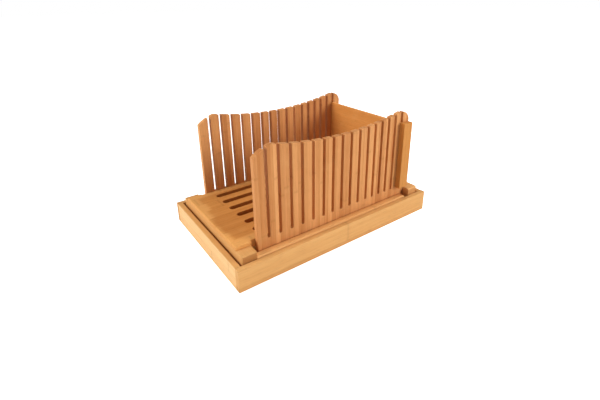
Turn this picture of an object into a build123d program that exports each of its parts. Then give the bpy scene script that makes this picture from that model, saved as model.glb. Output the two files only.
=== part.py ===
"""Bamboo bread slicing guide: crumb tray, slotted base, two comb guides and a back stop.

Millimetres. +X runs along the loaf towards the back stop, +Y from the front guide to the
rear guide, +Z up. The origin is at the centre of the tray's footprint, on the table.
"""
import os

from build123d import *

# ---------------------------------------------------------------- crumb tray
tray_length = 360.0
tray_width = 222.0
tray_height = 33.5
tray_wall = 8.0
tray_floor_thickness = 4.0
tray_floor_lift = 1.5  # the floor panel's underside above the table
floor_groove_depth = 4.0  # how far the floor panel is let into each wall
tray_edge_round = 0.9

corner_dowel_radius = 2.0
corner_dowel_length = 16.0
corner_dowel_in_long_wall = 5.0
corner_dowel_height = 10.0  # lower dowel of each corner, above the table
corner_dowel_spacing = 14.0

# ---------------------------------------------------------------- slotted base
base_end_play = 3.0  # between the base and each end wall of the tray
base_side_play = 2.0  # between the base and each long wall, were it centred
base_nudge = -1.0  # the base lies a little towards the front wall
left_crossbar_width = 22.5
right_crossbar_width = 21.0
crossbar_height = 38.5
crossbar_round = 0.9
crossbar_end_round = 3.0

lap_thickness = 6.0  # of the board's tongue over the left crossbar
lap_ear = 3.3  # how far the tongue is wider than the board, each side
board_thickness = 12.0
board_round = 1.2
crumb_slot_count = 6
crumb_slot_width = 10.0
crumb_slot_side_margin = 20.3  # board's edge to the outermost slot's centre line
crumb_slot_left_margin = 17.0  # left crossbar to the slots
crumb_slot_right_margin = 30.0  # right crossbar to the slots
crumb_slot_round = 0.5

board_dowel_radius = 2.5
board_dowel_length = 26.0
board_dowel_side_margin = 30.0
board_dowel_count = 3

# ---------------------------------------------------------------- comb guides
running_clearance = 0.3
guide_thickness = 7.9
guide_left_gap = 8.3  # left crossbar to the guides
guide_right_gap = 1.3  # right crossbar to the guides
guide_height = 164.0  # lower edge to the tops of the horns
guide_dip = 12.8  # how far the top edge sinks in the middle
horn_inset_left = 27.0
horn_drop_left = 13.5
horn_bulge_left = 0.06  # height of the left shoulder's rounding over its chord
horn_inset_right = 19.0
horn_drop_right = 14.0
horn_bulge_right = 0.2
knife_slot_width = 4.8
knife_slot_below_board = 1.5  # the slots' bottoms lie under the board's top
first_slot_inset = 17.3  # guide's left end to the first slot's centre
last_slot_inset = 16.35  # guide's right end to the last slot's centre
slice_shares = (18.8, 16.95, 14.5)  # thick, medium and thin slices, as shares
slots_per_share = 5
guide_edge_round = 0.3

# ---------------------------------------------------------------- rails beside the guides
rail_width = 11.7
rail_top = 35.0
rail_ledge = 16.0  # height of the ledge that the guide stands on
rail_ledge_width = 17.0
rail_end_gap = 8.5  # open finger gap at the right crossbar
rail_round = 3.0
rail_dowel_radius = 2.5
rail_dowel_length = 24.0
rail_dowel_height = 10.5
rail_dowel_spacing = 10.0

# ---------------------------------------------------------------- back stop
stop_height = 112.5
stop_panel_thickness = 4.0
stop_round = 0.8
cleat_width = 19.0
cleat_depth = 9.2  # from the guide outwards
cleat_lip = 1.85  # of the cleat, on the loaf side of the panel
cleat_groove_depth = 5.0

# ---------------------------------------------------------------- derived places
floor_top = tray_floor_lift + tray_floor_thickness
base_length = tray_length - 2 * (tray_wall + base_end_play)
base_width = tray_width - 2 * (tray_wall + base_side_play)
left_bar_x = left_crossbar_width - base_length / 2  # inner face of the left crossbar
right_bar_x = base_length / 2 - right_crossbar_width
bar_x = {-1: left_bar_x, 1: right_bar_x}
crossbar_top = floor_top + crossbar_height
board_top = crossbar_top + lap_thickness
board_bottom = board_top - board_thickness
rail_outer_y = base_width / 2
rail_inner_y = rail_outer_y - rail_width
ledge_inner_y = rail_outer_y - rail_width - rail_ledge_width
guide_outer_y = rail_inner_y - running_clearance
guide_inner_y = guide_outer_y - guide_thickness
board_half_width = guide_inner_y - running_clearance
guide_left_x = left_bar_x + guide_left_gap
guide_right_x = right_bar_x - guide_right_gap
guide_peak = rail_ledge + guide_height
slot_bottom = board_top - knife_slot_below_board
slot_shares = [share for share in slice_shares for _ in range(slots_per_share)]
slot_span = guide_right_x - last_slot_inset - guide_left_x - first_slot_inset
slot_x = [
    guide_left_x + first_slot_inset + slot_span * sum(slot_shares[:n]) / sum(slot_shares)
    for n in range(len(slot_shares) + 1)
]
panel_left_x = slot_x[-1] - stop_panel_thickness / 2
panel_right_x = slot_x[-1] + stop_panel_thickness / 2
cleat_left_x = panel_left_x - cleat_lip
cleat_inner_y = guide_outer_y + running_clearance
stop_half_width = cleat_inner_y + cleat_depth
stop_top = board_top + stop_height
same_place = 1e-3


def slab(x0, x1, y0, y1, z0, z1):
    """A block between two corners."""
    block = Box(abs(x1 - x0), abs(y1 - y0), abs(z1 - z0))
    return Pos((x0 + x1) / 2, (y0 + y1) / 2, (z0 + z1) / 2) * block


def peg(x, y, z, radius, length, direction):
    """A dowel centred on a point, along a direction."""
    return Plane(origin=(x, y, z), z_dir=direction) * Cylinder(radius, length)


def with_holes(solid, pegs):
    """A piece with the holes that its dowels fill."""
    for each in pegs:
        solid -= each
    return solid


def on_base(solid):
    """A piece of the base, moved to where the base lies in the tray."""
    return Pos(0, base_nudge, 0) * solid


def edges_at(solid, axis, height):
    """The edges along one axis that lie at one height."""
    return [e for e in solid.edges().filter_by(axis) if abs(e.center().Z - height) < same_place]


# ---------------------------------------------------------------- crumb tray pieces
def tray_floor():
    half_x = tray_length / 2 - tray_wall + floor_groove_depth
    half_y = tray_width / 2 - tray_wall + floor_groove_depth
    return slab(-half_x, half_x, -half_y, half_y, tray_floor_lift, floor_top)


def corner_dowels(side_x, side_y):
    """The two blind dowels that hold one corner of the tray."""
    x = side_x * (tray_length / 2 - tray_wall / 2)
    outer_end = tray_width / 2 - tray_wall + corner_dowel_in_long_wall
    y = side_y * (outer_end - corner_dowel_length / 2)
    return [
        peg(x, y, corner_dowel_height + n * corner_dowel_spacing,
            corner_dowel_radius, corner_dowel_length, (0, 1, 0))
        for n in range(2)
    ]


def all_corner_dowels():
    return [each for sx in (-1, 1) for sy in (-1, 1) for each in corner_dowels(sx, sy)]


def tray_long_wall(side):
    """Front (-1) or back (+1) wall, over the whole length of the tray."""
    outer = side * tray_width / 2
    inner = side * (tray_width / 2 - tray_wall)
    wall = slab(-tray_length / 2, tray_length / 2, outer, inner, 0, tray_height)
    wall = fillet(edges_at(wall, Axis.X, tray_height), tray_edge_round)
    return with_holes(wall - tray_floor(), all_corner_dowels())


def tray_end_wall(side):
    """Left (-1) or right (+1) wall, between the long walls."""
    outer = side * tray_length / 2
    inner = side * (tray_length / 2 - tray_wall)
    half_y = tray_width / 2 - tray_wall
    wall = slab(outer, inner, -half_y, half_y, 0, tray_height)
    wall = fillet(edges_at(wall, Axis.Y, tray_height), tray_edge_round)
    return with_holes(wall - tray_floor(), all_corner_dowels())


# ---------------------------------------------------------------- base pieces
def board_dowels(side):
    """Dowels between the slotted board's end and a crossbar, left (-1) or right (+1)."""
    z = (board_bottom + crossbar_top) / 2
    outermost = board_half_width - board_dowel_side_margin
    spacing = 2 * outermost / (board_dowel_count - 1)
    return [
        peg(bar_x[side], n * spacing - outermost, z,
            board_dowel_radius, board_dowel_length, (1, 0, 0))
        for n in range(board_dowel_count)
    ]


def rail_dowels(side):
    """Dowels that hold one rail, front (-1) or rear (+1): two at the left, one at the right."""
    y = side * (rail_inner_y + rail_width / 2)
    upper = rail_dowel_height + rail_dowel_spacing
    places = [(left_bar_x, rail_dowel_height), (left_bar_x, upper),
              (right_bar_x, rail_dowel_height)]
    return [peg(x, y, z, rail_dowel_radius, rail_dowel_length, (1, 0, 0)) for x, z in places]


def crossbar(side):
    """Left (-1) or right (+1) crossbar, standing on the tray's floor."""
    half_y = base_width / 2
    bar = slab(side * base_length / 2, bar_x[side], -half_y, half_y, floor_top, crossbar_top)
    outer_corners = [e for e in bar.edges().filter_by(Axis.Z)
                     if abs(e.center().X - side * base_length / 2) < same_place]
    bar = fillet(outer_corners + edges_at(bar, Axis.X, crossbar_top), crossbar_end_round)
    bar = fillet(edges_at(bar, Axis.Y, crossbar_top), crossbar_round)
    pegs = board_dowels(side) + rail_dowels(-1) + rail_dowels(1)
    return on_base(with_holes(bar, pegs))


def crumb_slots():
    """Round-ended cutters for the slots that crumbs fall through."""
    left = left_bar_x + crumb_slot_left_margin
    right = right_bar_x - crumb_slot_right_margin
    outermost = board_half_width - crumb_slot_side_margin
    pitch = 2 * outermost / (crumb_slot_count - 1)
    outline = SlotOverall(right - left, crumb_slot_width)
    cutter = extrude(outline, 2 * board_thickness, both=True)
    return [Pos((left + right) / 2, n * pitch - outermost, board_top) * cutter
            for n in range(crumb_slot_count)]


def slotted_board():
    """The cutting board, with a tongue lapped over the left crossbar."""
    lap = board_half_width + lap_ear
    end = -base_length / 2
    main = slab(left_bar_x, right_bar_x, -board_half_width, board_half_width,
                board_bottom, board_top)
    tongue = slab(end, left_bar_x, -lap, lap, crossbar_top, board_top)
    outer_edges = [e for e in tongue.edges()
                   if abs(e.center().Z - board_top) < same_place
                   and e.center().X < left_bar_x - same_place]
    board = main + fillet(outer_edges, board_round)
    for cutter in crumb_slots():
        board -= cutter
    rims = [e for e in board.edges()
            if abs(e.bounding_box().min.Z - board_top) < same_place
            and e.bounding_box().max.Y < board_half_width - same_place
            and e.bounding_box().min.Y > same_place - board_half_width
            and left_bar_x + same_place < e.center().X < right_bar_x - same_place]
    board = fillet(rims, crumb_slot_round)
    return on_base(with_holes(board, board_dowels(-1) + board_dowels(1)))


def rail(side):
    """Front (-1) or rear (+1) rail with the ledge that its guide stands on."""
    outer = side * rail_outer_y
    upright = slab(left_bar_x, right_bar_x - rail_end_gap, outer, side * rail_inner_y,
                   rail_ledge, rail_top)
    right_end = [e for e in edges_at(upright, Axis.Y, rail_top) if e.center().X > 0]
    upright = fillet(edges_at(upright, Axis.X, rail_top) + right_end, rail_round)
    ledge = slab(left_bar_x, right_bar_x, outer, side * ledge_inner_y, floor_top, rail_ledge)
    return on_base(with_holes(upright + ledge, rail_dowels(side)))


# ---------------------------------------------------------------- guides and back stop
def shoulder(start, end, bulge):
    """A rounded shoulder that bulges up and out between two points of the outline."""
    chord = Vector(*end) - Vector(*start)
    outward = Vector(-chord.Y, chord.X)
    middle = (Vector(*start) + Vector(*end)) / 2 + outward * bulge
    return ThreePointArc(start, middle, end)


def guide_outline():
    """The comb's outline in the XZ plane, with a dished top edge between two horns."""
    left_foot = (guide_left_x, rail_ledge)
    right_foot = (guide_right_x, rail_ledge)
    left_peak = (guide_left_x + horn_inset_left, guide_peak)
    right_peak = (guide_right_x - horn_inset_right, guide_peak)
    left_top = (guide_left_x, guide_peak - horn_drop_left)
    right_top = (guide_right_x, guide_peak - horn_drop_right)
    dip = ((left_peak[0] + right_peak[0]) / 2, guide_peak - guide_dip)
    edges = [
        Line(left_foot, left_top),
        shoulder(left_top, left_peak, horn_bulge_left),
        ThreePointArc(left_peak, dip, right_peak),
        shoulder(right_peak, right_top, horn_bulge_right),
        Line(right_top, right_foot),
        Line(right_foot, left_foot),
    ]
    return make_face(edges)


def knife_slot(x):
    """One knife slot, open at the top, with a round bottom."""
    radius = knife_slot_width / 2
    bottom = slot_bottom + radius
    top = guide_peak + guide_dip
    straight = Pos(x, (bottom + top) / 2) * Rectangle(knife_slot_width, top - bottom)
    return straight + Pos(x, bottom) * Circle(radius)


def comb_guide(side):
    """Front (-1) or rear (+1) guide: one board with the knife slots sawn into it."""
    face = guide_outline()
    for x in slot_x:
        face -= knife_slot(x)
    back = max(side * guide_inner_y, side * guide_outer_y)
    upright = Plane(origin=(0, back, 0), x_dir=(1, 0, 0), z_dir=(0, -1, 0))
    comb = upright * extrude(face, guide_thickness)
    sawn = [e for e in comb.edges()
            if e.bounding_box().size.Y < same_place
            and rail_ledge + same_place < e.center().Z < guide_peak - 2 * guide_dip]
    return on_base(fillet(sawn, guide_edge_round))


def stop_panel():
    """The thin board in the guides' last knife slots that closes the loaf space."""
    half = cleat_inner_y + cleat_groove_depth
    panel = slab(panel_left_x, panel_right_x, -half, half, board_top, stop_top)
    return on_base(fillet(edges_at(panel, Axis.Y, stop_top), stop_round))


def stop_cleat(side):
    """Front (-1) or rear (+1) cleat on the stop panel's end, outside the guide."""
    cleat = slab(cleat_left_x, cleat_left_x + cleat_width,
                 side * cleat_inner_y, side * stop_half_width, board_top, stop_top)
    outer = side * stop_half_width
    rims = [e for e in cleat.edges()
            if abs(e.center().Y - outer) < same_place or abs(e.center().Z - stop_top) < same_place]
    cleat = fillet(rims, stop_round)
    return on_base(cleat) - stop_panel()


def dowel_group(pegs):
    """Identical dowels kept together as one group of separate solids."""
    return Compound(children=[solid for each in pegs for solid in each.solids()])


def build():
    """Every piece of the object by name."""
    board_pegs = board_dowels(-1) + board_dowels(1)
    rail_pegs = rail_dowels(-1) + rail_dowels(1)
    return {
        "tray_floor": tray_floor(),
        "tray_front_wall": tray_long_wall(-1),
        "tray_back_wall": tray_long_wall(1),
        "tray_left_wall": tray_end_wall(-1),
        "tray_right_wall": tray_end_wall(1),
        "tray_corner_dowels": dowel_group(all_corner_dowels()),
        "left_crossbar": crossbar(-1),
        "right_crossbar": crossbar(1),
        "slotted_board": slotted_board(),
        "board_dowels": dowel_group([on_base(each) for each in board_pegs]),
        "front_rail": rail(-1),
        "rear_rail": rail(1),
        "rail_dowels": dowel_group([on_base(each) for each in rail_pegs]),
        "front_guide": comb_guide(-1),
        "rear_guide": comb_guide(1),
        "stop_panel": stop_panel(),
        "front_cleat": stop_cleat(-1),
        "rear_cleat": stop_cleat(1),
    }


os.makedirs("parts", exist_ok=True)
for node, shape in build().items():
    export_step(shape, f"parts/{node}.step")
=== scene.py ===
import math

import bpy
from mathutils import Matrix, Vector

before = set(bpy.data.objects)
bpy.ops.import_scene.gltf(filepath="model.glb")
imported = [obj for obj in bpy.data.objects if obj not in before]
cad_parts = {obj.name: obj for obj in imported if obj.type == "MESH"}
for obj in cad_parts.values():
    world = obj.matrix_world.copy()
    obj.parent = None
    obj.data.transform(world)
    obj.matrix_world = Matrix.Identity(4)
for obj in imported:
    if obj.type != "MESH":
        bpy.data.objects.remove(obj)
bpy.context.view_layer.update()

MM = 0.001
X, Y, Z = 0, 1, 2


def rgb(r, g, b):
    """A colour given as display values, made linear."""
    return tuple((v / 255 / 12.92) if v <= 10 else ((v / 255 + 0.055) / 1.055) ** 2.4
                 for v in (r, g, b)) + (1.0,)


# ------------------------------------------------------------------ camera, floor and light
CAMERA_PLACE = Vector((-0.3425, -0.47691, 0.34439))  # metres
CAMERA_AZIMUTH = math.radians(-35.2)
CAMERA_ELEVATION = math.radians(21.17)
CAMERA_ROLL = math.radians(-0.85)
CAMERA_LENS = 23.24  # mm, on a sensor 36 mm wide
CAMERA_SENSOR = 36.0
CAMERA_SHIFT_X = 0.0014
CAMERA_SHIFT_Y = -0.0815
CAMERA_NEAREST = 0.01

FLOOR_SIZE = 30.0
FLOOR_LEVEL = -0.0002  # a hair under the tray, so that no faces coincide
FLOOR_GREY = 0.9
FLOOR_GLOW = 0.86  # added for camera rays only, which makes the floor white
WORLD_LEVEL = 0.22
WORLD_LEVEL_SEEN = 1.0  # for camera rays only

# name, place, target, size in metres, power in watts
LAMPS = (
    ("front_right", (1.2, -1.85, 0.8), (0, 0, 0.06), 1.0, 36),
    ("left", (-2.05, 0.32, 0.75), (0, 0, 0.06), 0.7, 30),
    ("overhead", (0.1, 0.2, 2.2), (0, 0, 0.05), 1.6, 24),
)

# ------------------------------------------------------------------ bamboo, what all pieces share
# noise scales along and across the grain, per metre
FIBRES = (9.0, 900.0)
FLECKS = (45.0, 1900.0)
STREAKS = (3.0, 160.0)
# noise scales that are the same both ways, per metre
CLOUDS = 14.0
WANDER = 6.0
RUBBED = 32.0
END_DOTS = 1500.0
KNOT_BEND = 90.0

WANDER_DEPTH = 0.0006  # metres that a glue line strays from straight
STRIP_START = 7.0  # keeps the count of laminations above nought
CULM_LENGTH = 3.0  # metres, over which the start of a strip's grain varies

# how strongly each pattern moves the shade between a piece's light and dark colour
STREAK_WEIGHT = 0.9
CLOUD_WEIGHT = 0.35
FIBRE_WEIGHT = 0.55

FLECK_EDGES = (0.57, 0.72)
RUBBED_EDGES = (0.52, 0.72)
DOT_EDGES = (0.45, 0.65)
FACING_EDGES = (0.75, 0.95)  # how squarely a face has to look along an axis

KNOT_SPACING = 0.24  # metres along a strip
KNOT_START = 5.0  # keeps the place along a strip above nought
KNOT_STRAY = 0.012
KNOT_EDGES = (0.003, 0.011)  # shares of the spacing
HALO_END = 0.045
GLUE_WIDTH = 0.22  # mm, half of a glue line with its soft border

RIM_BLUR, END_BLUR = 3, 5  # mm
# painted light on the board's rim and end: how far its border steps between laminations, and how
# much it lightens
LIT_EDGE_REACH = 0.022  # metres between the laminations worn least and most
LIT_EDGE_SHADE = -0.6

# a stain is (share of the mask, colour)
RED_SHARE, RED = 0.25, rgb(150, 82, 44)
FLECK_STAIN = (0.35, rgb(112, 62, 30))
# painted light, not a stain: the pale tint of the board's lit rim and end
LIT_EDGE_TINT = (0.25, rgb(246, 186, 112))
HALO_SHARE, HALO_COLOUR = 0.22, rgb(140, 84, 42)
KNOT_SHARE, KNOT_COLOUR = 0.55, rgb(104, 56, 26)
GLUE_COLOUR = rgb(120, 68, 34)
# painted shade on faces that look up
SHADED_TOP_SHARE = 0.75
# a darker colour for end faces
END_FACE_DARK = rgb(150, 88, 38)
DOT_STAIN = (0.25, rgb(150, 90, 44))
RUBBED_STAIN = (0.10, rgb(236, 188, 120))

ROUGHNESS = 0.48
FIBRE_ROUGHNESS = 0.2
RUBBED_ROUGHNESS = -0.07
KNOT_ROUGHNESS = 0.1
FLECK_HEIGHT, GLUE_HEIGHT, KNOT_HEIGHT = -0.5, -0.9, 0.5
BUMP_STRENGTH = 0.35
BUMP_DISTANCE = 0.00012
WOOD_IOR = 1.45
WOOD_SPECULAR = 0.3
WOOD_SPECULAR_TINT = (1.0, 0.8, 0.5, 1.0)


# ------------------------------------------------------------------ node helpers
class Tree:
    """Short calls for building one material's nodes."""

    def __init__(self, name):
        self.material = bpy.data.materials.new(name)
        self.material.use_nodes = True
        self.nodes = self.material.node_tree.nodes
        self.links = self.material.node_tree.links
        self.nodes.clear()

    def put(self, socket, value):
        if isinstance(value, bpy.types.NodeSocket):
            self.links.new(value, socket)
        else:
            socket.default_value = value

    def node(self, kind, inputs=None, **settings):
        made = self.nodes.new(kind)
        for key, value in settings.items():
            setattr(made, key, value)
        for key, value in (inputs or {}).items():
            self.put(made.inputs[key], value)
        return made

    def math(self, operation, a, b=0.0, c=0.0, clamp=False):
        made = self.node("ShaderNodeMath", operation=operation, use_clamp=clamp)
        for socket, value in zip(made.inputs, (a, b, c)):
            self.put(socket, value)
        return made.outputs[0]

    def swing(self, shade, pattern, weight, clamp=False):
        """Moves shade by a pattern that lies around 0.5."""
        centred = self.math("SUBTRACT", pattern, 0.5)
        return self.math("MULTIPLY_ADD", centred, weight, shade, clamp=clamp)

    def ramp(self, value, low, high, to_low=0.0, to_high=1.0):
        made = self.node("ShaderNodeMapRange", interpolation_type="SMOOTHSTEP")
        for key, item in zip(("Value", "From Min", "From Max", "To Min", "To Max"),
                             (value, low, high, to_low, to_high)):
            self.put(made.inputs[key], item)
        return made.outputs[0]

    def mix(self, factor, a, b):
        made = self.node("ShaderNodeMix", data_type="RGBA")
        self.put(made.inputs[0], factor)
        self.put(made.inputs[6], a)
        self.put(made.inputs[7], b)
        return made.outputs[2]

    def stain(self, colour, mask, share, tint):
        return self.mix(self.math("MULTIPLY", mask, share), colour, tint)

    def combine(self, x, y, z):
        return self.node("ShaderNodeCombineXYZ", {0: x, 1: y, 2: z}).outputs[0]

    def noise(self, vector, scale, detail=3.0, roughness=0.55):
        made = self.node("ShaderNodeTexNoise", {"Vector": vector, "Scale": scale,
                                                "Detail": detail, "Roughness": roughness})
        return made.outputs["Fac"]

    def random(self, value):
        made = self.node("ShaderNodeTexWhiteNoise", {"W": value}, noise_dimensions="1D")
        return made.outputs["Value"]

    def finish(self, shader):
        """Joins a shader to the material's output."""
        out = self.node("ShaderNodeOutputMaterial")
        self.links.new(shader.outputs[0], out.inputs[0])
        return self.material


def bamboo(name, grain, across, strip, light, dark, seed, contrast=0.5, seam=0.5, knots=0.6,
           painted_light_edges=None, end_face_darkening=0.0, shaded_top=None):
    """Laminated bamboo. grain and across are axis numbers; strip is the lamination's width in mm.
    painted_light_edges: (side, end) in mm, where painted light starts, making a paler rim and
    end.
    end_face_darkening: how much darker the end faces are. shaded_top: the colour of painted shade
    on an upper face."""
    t = Tree(name)
    place = t.node("ShaderNodeTexCoord").outputs["Object"]
    parts = t.node("ShaderNodeSeparateXYZ", {0: place}).outputs
    along, side, depth = parts[grain], parts[across], parts[3 - grain - across]

    # the laminations, each with two random values of its own
    wander = t.math("MULTIPLY", t.noise(place, WANDER, 1.0), WANDER_DEPTH)
    strayed = t.math("ADD", t.math("ADD", side, wander), STRIP_START + seed)
    ribbon = t.math("DIVIDE", strayed, strip * MM)
    index = t.math("FLOOR", ribbon)
    inside = t.math("FRACT", ribbon)
    tone = t.random(t.math("ADD", index, seed * 13.7))
    second = t.random(t.math("ADD", index, seed * 31.3 + 5.5))

    # every strip is cut from another culm, so its fibres start elsewhere
    shifted = t.math("ADD", along, t.math("MULTIPLY", tone, CULM_LENGTH))

    def grained(scales, detail, roughness):
        lengthwise, crosswise = scales
        stretched = t.combine(t.math("MULTIPLY", shifted, lengthwise),
                              t.math("MULTIPLY", side, crosswise),
                              t.math("MULTIPLY", depth, crosswise))
        return t.noise(stretched, 1.0, detail, roughness)

    fine = grained(FIBRES, 4.0, 0.6)
    flecks = t.ramp(grained(FLECKS, 2.0, 0.5), *FLECK_EDGES)
    broad = grained(STREAKS, 2.0, 0.5)
    cloud = t.noise(place, CLOUDS, 2.0)

    shade = t.swing(0.5, tone, contrast)
    shade = t.swing(shade, broad, STREAK_WEIGHT)
    shade = t.swing(shade, cloud, CLOUD_WEIGHT)
    shade = t.swing(shade, fine, FIBRE_WEIGHT, clamp=True)
    # painted light: the board's side rims and left end are made paler, as where light falls on
    # them
    if painted_light_edges:
        rim, end = painted_light_edges
        lit_side_mask = t.ramp(t.math("ABSOLUTE", side), (rim - RIM_BLUR) * MM, (rim + RIM_BLUR) * MM)
        # the painted light at the end reaches further in on some laminations than on others
        reach = t.swing(along, tone, LIT_EDGE_REACH)
        lit_end_mask = t.ramp(reach, (end - END_BLUR) * MM, (end + END_BLUR) * MM, 1.0, 0.0)
        painted_light_mask = t.math("MAXIMUM", lit_side_mask, lit_end_mask)
        shade = t.math("MULTIPLY_ADD", painted_light_mask, LIT_EDGE_SHADE, shade, clamp=True)
    colour = t.mix(shade, light, dark)
    colour = t.stain(colour, second, RED_SHARE, t.mix(0.5, dark, RED))
    colour = t.stain(colour, flecks, *FLECK_STAIN)
    # the same painted light tints the colour paler
    if painted_light_edges:
        colour = t.stain(colour, painted_light_mask, *LIT_EDGE_TINT)

    # knots: one narrow darker ring on every strip at each spacing, in a soft halo
    ring = t.math("FRACT", t.math("DIVIDE", t.math("ADD", shifted, KNOT_START), KNOT_SPACING))
    bend = t.noise(t.combine(side, depth, tone), KNOT_BEND, 1.0)
    bent = t.math("ADD", ring, t.math("MULTIPLY", bend, KNOT_STRAY))
    far = t.math("ABSOLUTE", t.math("SUBTRACT", bent, 0.5))
    knot = t.ramp(far, *KNOT_EDGES, 1.0, 0.0)
    halo = t.ramp(far, 0.0, HALO_END, 1.0, 0.0)
    colour = t.stain(colour, halo, HALO_SHARE * knots, HALO_COLOUR)
    colour = t.stain(colour, knot, KNOT_SHARE * knots, KNOT_COLOUR)

    # glue lines between the laminations
    edge = t.math("ABSOLUTE", t.math("SUBTRACT", inside, 0.5))
    glue = t.ramp(edge, 0.5 - GLUE_WIDTH / strip, 0.5, 0.0, 1.0)
    colour = t.stain(colour, glue, seam, GLUE_COLOUR)

    # faces that look up can get painted shade, a darker top; end faces are darkened and show the
    # fibres as dots
    normal = t.node("ShaderNodeTexCoord").outputs["Normal"]
    facing = t.node("ShaderNodeSeparateXYZ", {0: normal}).outputs
    # painted shade: faces that look up are darkened towards a toasted colour
    if shaded_top:
        colour = t.stain(colour, t.ramp(facing[Z], *FACING_EDGES), SHADED_TOP_SHARE, shaded_top)
    end_face = t.ramp(t.math("ABSOLUTE", facing[grain]), *FACING_EDGES)
    dots = t.ramp(t.noise(place, END_DOTS, 2.0), *DOT_EDGES)
    # end faces are made darker by the given amount
    colour = t.stain(colour, end_face, end_face_darkening, END_FACE_DARK)
    colour = t.stain(colour, t.math("MULTIPLY", end_face, dots), *DOT_STAIN)

    rubbed = t.ramp(t.noise(place, RUBBED, 3.0), *RUBBED_EDGES)
    colour = t.stain(colour, rubbed, *RUBBED_STAIN)

    rough = t.math("MULTIPLY_ADD", fine, FIBRE_ROUGHNESS, ROUGHNESS)
    rough = t.math("MULTIPLY_ADD", rubbed, RUBBED_ROUGHNESS, rough)
    rough = t.math("MULTIPLY_ADD", knot, KNOT_ROUGHNESS, rough)

    height = t.math("MULTIPLY_ADD", flecks, FLECK_HEIGHT, fine)
    height = t.math("MULTIPLY_ADD", glue, GLUE_HEIGHT, height)
    height = t.math("MULTIPLY_ADD", knot, KNOT_HEIGHT, height)
    bump = t.node("ShaderNodeBump", {"Strength": BUMP_STRENGTH, "Distance": BUMP_DISTANCE,
                                     "Height": height})

    return t.finish(t.node("ShaderNodeBsdfPrincipled", {
        "Base Color": colour, "Roughness": rough, "Normal": bump.outputs[0], "IOR": WOOD_IOR,
        "Specular IOR Level": WOOD_SPECULAR, "Specular Tint": WOOD_SPECULAR_TINT}))


# ------------------------------------------------------------------ materials, one for each piece
# the cream is painted light: it makes the tray's left wall a paler, lit copy of the honey and
# amber walls
PAINTED_LIGHT_CREAM, HONEY, AMBER = rgb(244, 204, 150), rgb(228, 176, 112), rgb(204, 142, 76)
PAINTED_SHADE_TOP = rgb(208, 148, 80)
BOARD = (rgb(222, 156, 84), rgb(190, 116, 50))
RAIL = (rgb(244, 188, 122), rgb(226, 160, 94))
GUIDE = (rgb(234, 170, 108), rgb(188, 118, 64))
STOP = (rgb(228, 160, 88), rgb(206, 132, 60))
CLEAT = (rgb(212, 148, 78), rgb(190, 120, 52))
DOWEL = (rgb(224, 190, 142), rgb(196, 152, 100))

# contrast between laminations, strength of the glue lines, strength of the knots
LONG_WALL = BAR = (0.2, 0.3, 0.2)
END_WALL = (0.3, 0.4, 0.2)
CALM = (0.2, 0.2, 0.2)
COMB = (0.5, 0.35, 0.2)

looks = {
    "tray_front_wall": bamboo("bamboo_tray_front", X, Z, 33.5, HONEY, AMBER, 1, *LONG_WALL),
    "tray_back_wall": bamboo("bamboo_tray_back", X, Z, 33.5, HONEY, AMBER, 2, *LONG_WALL),
    # the left wall holds painted light on its outer face and painted shade on its top
    "tray_left_wall": bamboo("bamboo_tray_left", Y, Z, 16.75, PAINTED_LIGHT_CREAM, HONEY, 3, *END_WALL,
                             shaded_top=PAINTED_SHADE_TOP),
    "tray_right_wall": bamboo("bamboo_tray_right", Y, Z, 16.75, HONEY, AMBER, 4, *END_WALL),
    "tray_floor": bamboo("bamboo_tray_floor", X, Y, 20.0, *BOARD, 5, 0.3, 0.4, 0.3),
    "left_crossbar": bamboo("bamboo_left_crossbar", Y, X, 22.5, HONEY, AMBER, 6, *BAR,
                            end_face_darkening=0.55),
    "right_crossbar": bamboo("bamboo_right_crossbar", Y, X, 21.0, *RAIL, 7, *BAR, end_face_darkening=0.4),
    # the board carries painted light on its side rims and its left end
    "slotted_board": bamboo("bamboo_board", X, Y, 24.0, *BOARD, 8, 0.3, 0.3, 0.25,
                            painted_light_edges=(70, -158)),
    "front_rail": bamboo("bamboo_front_rail", X, Z, 40.0, *RAIL, 9, *CALM),
    "rear_rail": bamboo("bamboo_rear_rail", X, Z, 40.0, *RAIL, 10, *CALM),
    "front_guide": bamboo("bamboo_front_guide", Z, X, 7.6, *GUIDE, 11, *COMB),
    "rear_guide": bamboo("bamboo_rear_guide", Z, X, 7.6, *GUIDE, 12, *COMB),
    "stop_panel": bamboo("bamboo_stop_panel", Y, Z, 38.0, *STOP, 13, 0.15, 0.2, 0.2),
    "front_cleat": bamboo("bamboo_front_cleat", Z, X, 30.0, *CLEAT, 17, *CALM),
    "rear_cleat": bamboo("bamboo_rear_cleat", Z, X, 30.0, *CLEAT, 18, *CALM),
    "tray_corner_dowels": bamboo("dowel_tray", Y, X, 30.0, *DOWEL, 14),
    "board_dowels": bamboo("dowel_board", X, Y, 30.0, *DOWEL, 15),
    "rail_dowels": bamboo("dowel_rail", X, Y, 30.0, *DOWEL, 16),
}
for name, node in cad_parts.items():
    node.data.materials.clear()
    node.data.materials.append(looks[name])


# ------------------------------------------------------------------ the stage
def link(name, data):
    made = bpy.data.objects.new(name, data)
    bpy.context.scene.collection.objects.link(made)
    return made


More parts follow.
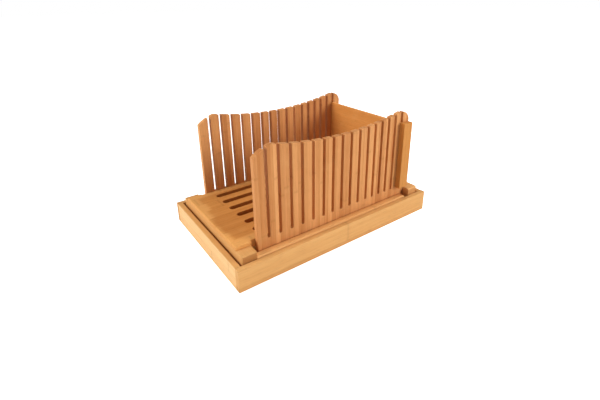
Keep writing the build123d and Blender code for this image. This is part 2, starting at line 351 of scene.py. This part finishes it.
def make_floor():
    half = FLOOR_SIZE / 2
    corners = [(-half, -half), (half, -half), (half, half), (-half, half)]
    mesh = bpy.data.meshes.new("floor")
    mesh.from_pydata([(x, y, FLOOR_LEVEL) for x, y in corners], [], [(0, 1, 2, 3)])

    t = Tree("floor_white")
    path = t.node("ShaderNodeLightPath")
    grey = (FLOOR_GREY, FLOOR_GREY, FLOOR_GREY, 1.0)
    soft = t.node("ShaderNodeBsdfDiffuse", {"Color": grey})
    glow = t.node("ShaderNodeEmission", {"Color": (1.0, 1.0, 1.0, 1.0), "Strength": FLOOR_GLOW})
    seen = t.node("ShaderNodeAddShader", {0: soft.outputs[0], 1: glow.outputs[0]})
    pick = t.node("ShaderNodeMixShader", {0: path.outputs["Is Camera Ray"], 1: soft.outputs[0],
                                          2: seen.outputs[0]})
    mesh.materials.append(t.finish(pick))
    return link("floor", mesh)


def make_lamp(name, place, target, size, power):
    data = bpy.data.lights.new(name, "AREA")
    data.shape = "DISK"
    data.size = size
    data.energy = power
    made = link(name, data)
    made.location = place
    aim = Vector(target) - Vector(place)
    made.rotation_euler = aim.to_track_quat("-Z", "Y").to_euler()


def make_world():
    world = bpy.data.worlds.new("studio")
    bpy.context.scene.world = world
    world.use_nodes = True
    nodes, links = world.node_tree.nodes, world.node_tree.links
    backdrop = nodes["Background"]
    backdrop.inputs["Color"].default_value = (1.0, 1.0, 1.0, 1.0)
    rays = nodes.new("ShaderNodeLightPath")
    level = nodes.new("ShaderNodeMapRange")
    level.inputs["To Min"].default_value = WORLD_LEVEL
    level.inputs["To Max"].default_value = WORLD_LEVEL_SEEN
    links.new(rays.outputs["Is Camera Ray"], level.inputs["Value"])
    links.new(level.outputs[0], backdrop.inputs["Strength"])


def make_camera():
    camera = link("camera", bpy.data.cameras.new("camera"))
    bpy.context.scene.camera = camera
    camera.data.sensor_width = CAMERA_SENSOR
    camera.data.lens = CAMERA_LENS
    camera.data.shift_x = CAMERA_SHIFT_X
    camera.data.shift_y = CAMERA_SHIFT_Y
    camera.data.clip_start = CAMERA_NEAREST

    back = Vector((math.sin(CAMERA_AZIMUTH) * math.cos(CAMERA_ELEVATION),
                   -math.cos(CAMERA_AZIMUTH) * math.cos(CAMERA_ELEVATION),
                   math.sin(CAMERA_ELEVATION)))
    right = Vector((0, 0, 1)).cross(back).normalized()
    up = back.cross(right)
    c, s = math.cos(CAMERA_ROLL), math.sin(CAMERA_ROLL)
    turned_right = right * c + up * s
    turned_up = up * c - right * s
    columns = (turned_right, turned_up, back, CAMERA_PLACE)
    rows = [tuple(column[axis] for column in columns) for axis in (X, Y, Z)]
    camera.matrix_world = Matrix((*rows, (0, 0, 0, 1)))


floor = make_floor()
for settings in LAMPS:
    make_lamp(*settings)
make_world()
make_camera()
bpy.context.scene.view_settings.view_transform = "Standard"
